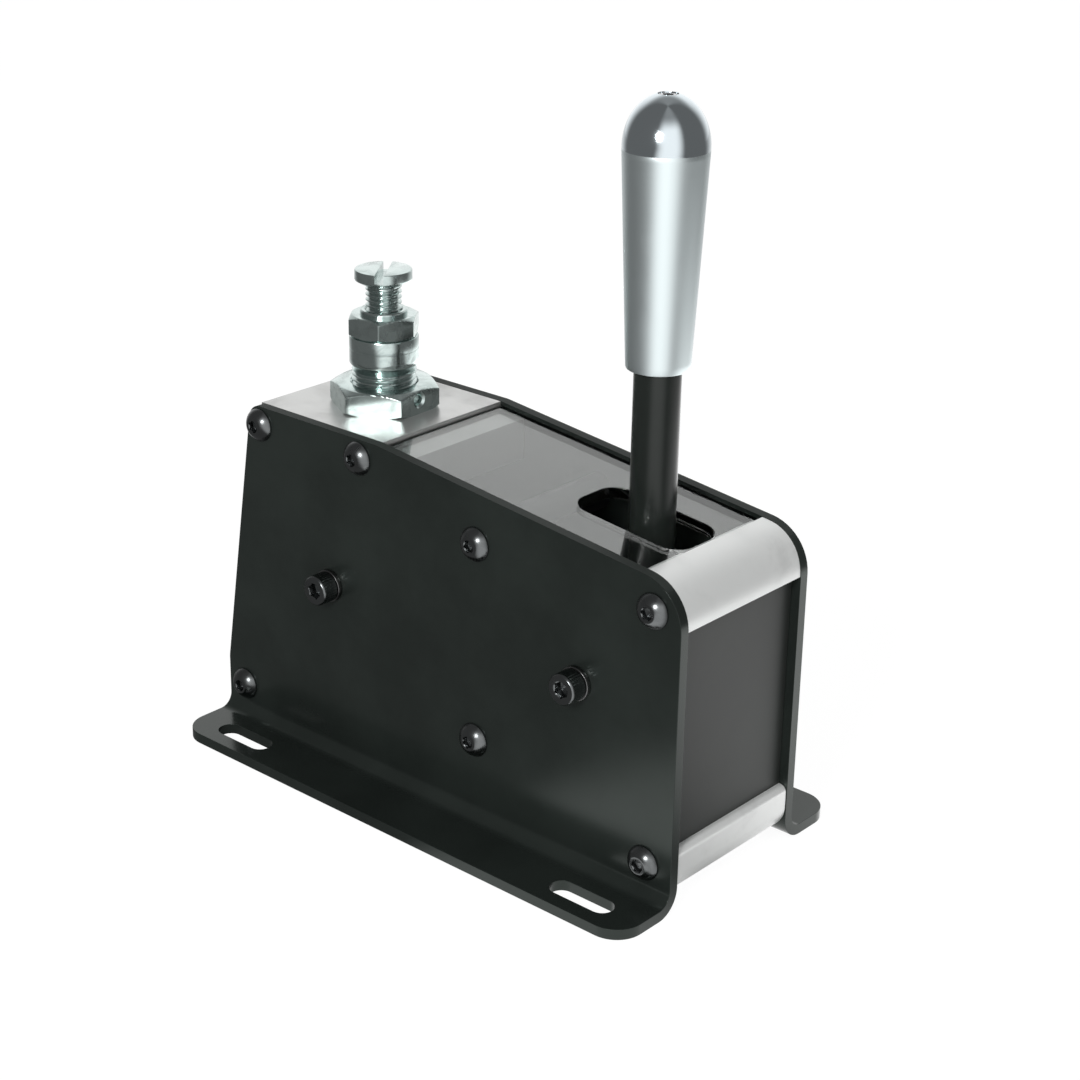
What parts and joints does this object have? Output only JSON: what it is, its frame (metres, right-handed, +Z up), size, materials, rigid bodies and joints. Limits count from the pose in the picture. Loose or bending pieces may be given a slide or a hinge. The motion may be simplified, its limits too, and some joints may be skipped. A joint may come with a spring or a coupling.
{
  "type": "sim racing gear shifter",
  "caption": "Sequential gear shifter: black folded side plates with slotted flanges, clear sloping cover, spring detent plunger and a metal lever with a tapered knob.",
  "frame": {"origin": "middle of the case's footprint, on the surface that it stands on", "axes": "+Z up, +X along the case towards the driver (the end with the lever), +Y towards the driver's right"},
  "size_m": [0.1644, 0.0914, 0.1991],
  "materials": {
    "black_sheet": "satin black powder coat, fine texture",
    "block_alu": "milled, satin",
    "clear_sheet": "clear acrylic, polished",
    "bar_alu": "drawn bar, satin with fine lengthwise grain",
    "spacer_steel": "turned",
    "panel_black": "satin black",
    "screw_black": "black oxide, oiled",
    "washer_black": "black oxide",
    "shaft_steel": "ground",
    "bronze": "sintered bronze",
    "hub_alu": "machined",
    "tube_black": "black, semi-gloss",
    "knob_alu": "turned, bright, polished dome",
    "zinc_steel": "bright zinc plate",
    "pin_steel": "ground",
    "cam_steel": "machined",
    "spring_steel": "oiled spring wire",
    "board": "solder mask green",
    "chip": "moulded epoxy",
    "magnet": "nickel plate",
    "standoff": "nickel-plated brass",
    "socket": "tin plate"
  },
  "bodies": {
    "case": {"left_side_plate": "black_sheet", "right_side_plate": "black_sheet", "detent_block": "block_alu", "top_cover": "clear_sheet", "nose_bar": "bar_alu", "foot_bar": "bar_alu", "rear_spacer": "bar_alu", "upper_spacer": "spacer_steel", "lower_spacer": "spacer_steel", "front_panel": "panel_black", "rear_panel": "panel_black", "left_case_screws": "screw_black", "right_case_screws": "screw_black", "shaft_screws": "screw_black", "shaft_washers": "washer_black", "lever_shaft": "shaft_steel", "cam_shaft": "shaft_steel", "shaft_spacers": "spacer_steel", "plunger_housing": "zinc_steel", "plunger_nut": "zinc_steel", "lock_nut": "zinc_steel", "detent_spring": "spring_steel", "sensor_board": "board", "sensor_chip": "chip", "board_standoffs": "standoff", "board_screws": "pin_steel", "usb_socket": "socket", "usb_screws": "screw_black"},
    "lever": {"lever_hub": "hub_alu", "lever_bushes": "bronze", "lever_tube": "tube_black", "tube_pin": "pin_steel", "knob": "knob_alu", "knob_screw": "pin_steel", "lever_crank_pin": "pin_steel"},
    "link": {"link_rod": "cam_steel", "sensor_magnet": "magnet"},
    "cam": {"detent_cam": "cam_steel", "cam_bushes": "bronze", "cam_crank_pin": "pin_steel"},
    "pin": {"detent_pin": "pin_steel"},
    "cup": {"spring_cup": "pin_steel"},
    "adjuster": {"adjuster_screw": "zinc_steel"}
  },
  "joints": [
    {"name": "lever_swing", "type": "hinge", "parent": "case", "child": "lever", "pos_m": [0.0504, 0, 0.0545], "axis": [0, 1, 0], "range_deg": [-10, 10], "stiffness_Nm_per_rad": 12},
    {"name": "link_turn", "type": "hinge", "parent": "lever", "child": "link", "pos_m": [0.0504, 0, 0.0345], "axis": [0, 1, 0], "range_deg": [-10, 10]},
    {"name": "cam_swing", "type": "hinge", "parent": "case", "child": "cam", "pos_m": [-0.0385, 0, 0.0545], "axis": [0, 1, 0], "range_deg": [-10, 10]},
    {"name": "pin_lift", "type": "slide", "parent": "case", "child": "pin", "axis": [0, 0, 1], "range_m": [0, 0.004], "stiffness_N_per_m": 3000, "springref_m": -0.003, "deforming": ["detent_spring"]},
    {"name": "preload_travel", "type": "slide", "parent": "case", "child": "cup", "axis": [0, 0, 1], "range_m": [-0.002, 0.002]},
    {"name": "preload_turn", "type": "hinge", "parent": "cup", "child": "adjuster", "pos_m": [-0.0431, 0, 0.12], "axis": [0, 0, 1], "range_deg": [-490, 490]}
  ],
  "couplings": [
    {"joint": "link_turn", "follows": "lever_swing", "ratio": -1},
    {"joint": "cam_swing", "follows": "lever_swing", "ratio": 1},
    {"joint": "preload_turn", "follows": "preload_travel", "rad_per_m": 4188.8}
  ]
}
